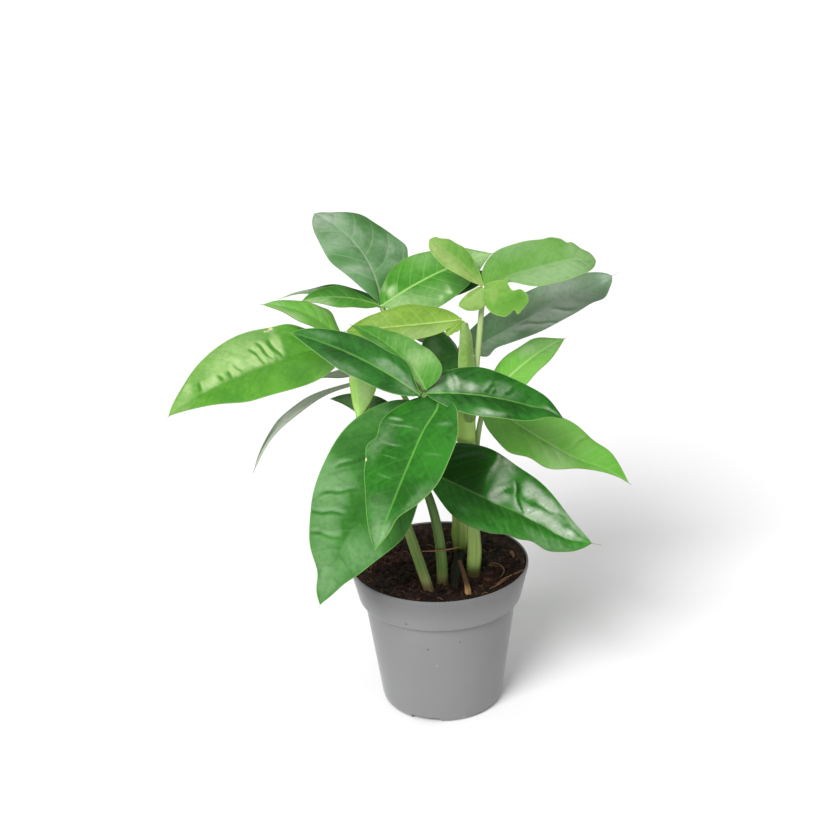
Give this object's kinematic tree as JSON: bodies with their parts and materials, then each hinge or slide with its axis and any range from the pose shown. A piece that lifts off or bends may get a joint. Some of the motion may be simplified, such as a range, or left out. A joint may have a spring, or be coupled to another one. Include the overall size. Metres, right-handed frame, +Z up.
{
  "type": "potted syngonium",
  "caption": "Potted syngonium: divided glossy leaves on pale sheathed stalks, rising from dark potting mix in a plain collared plastic grow pot.",
  "frame": {"origin": "centre of the pot's flat underside, at the height of the surface it stands on", "axes": "+Z up along the pot's axis, -Y towards the front of the plant, +X to the right seen from the front"},
  "size_m": [0.2964, 0.2238, 0.3212],
  "materials": {
    "grow_pot_plastic": "satin",
    "potting_mix": "matte",
    "dry_stub": "matte",
    "stalk_green": "satin",
    "dark_leaf": "gloss",
    "mid_leaf": "gloss",
    "fresh_leaf": "satin",
    "pale_leaf": "satin",
    "old_leaf": "satin"
  },
  "bodies": {
    "root": {"back_leaflet_front": "old_leaf", "back_leaflet_left": "old_leaf", "back_leaflet_right": "old_leaf", "back_stalk": "stalk_green", "crown_leaflet_left": "pale_leaf", "crown_leaflet_left_ear": "pale_leaf", "crown_leaflet_right": "pale_leaf", "crown_leaflet_right_ear": "pale_leaf", "crown_stalk": "stalk_green", "dead_stub": "dry_stub", "drooping_leaflet_back": "old_leaf", "drooping_leaflet_front": "old_leaf", "drooping_stalk": "stalk_green", "fresh_leaflet_left": "fresh_leaf", "fresh_leaflet_right": "fresh_leaf", "fresh_stalk": "stalk_green", "front_leaflet_back": "dark_leaf", "front_leaflet_left": "dark_leaf", "front_leaflet_middle": "dark_leaf", "front_leaflet_right": "dark_leaf", "front_stalk": "stalk_green", "hanging_leaflet_middle": "mid_leaf", "hanging_stalk": "stalk_green", "left_leaflet_back": "fresh_leaf", "left_leaflet_front": "fresh_leaf", "left_sheath": "stalk_green", "left_stalk": "stalk_green", "left_stem": "stalk_green", "low_leaflet_left": "dark_leaf", "low_leaflet_right": "dark_leaf", "low_stalk": "stalk_green", "pale_leaflet_ear": "pale_leaf", "pale_leaflet_left": "pale_leaf", "pale_sheath": "pale_leaf", "pale_stalk": "stalk_green", "pot": "grow_pot_plastic", "right_leaflet_back": "fresh_leaf", "right_leaflet_front": "fresh_leaf", "right_stalk": "stalk_green", "right_stem": "stalk_green", "soil": "potting_mix", "tall_leaflet_back": "old_leaf", "tall_leaflet_left": "old_leaf", "tall_leaflet_right": "old_leaf", "tall_stalk": "stalk_green"}
  },
  "joints": []
}
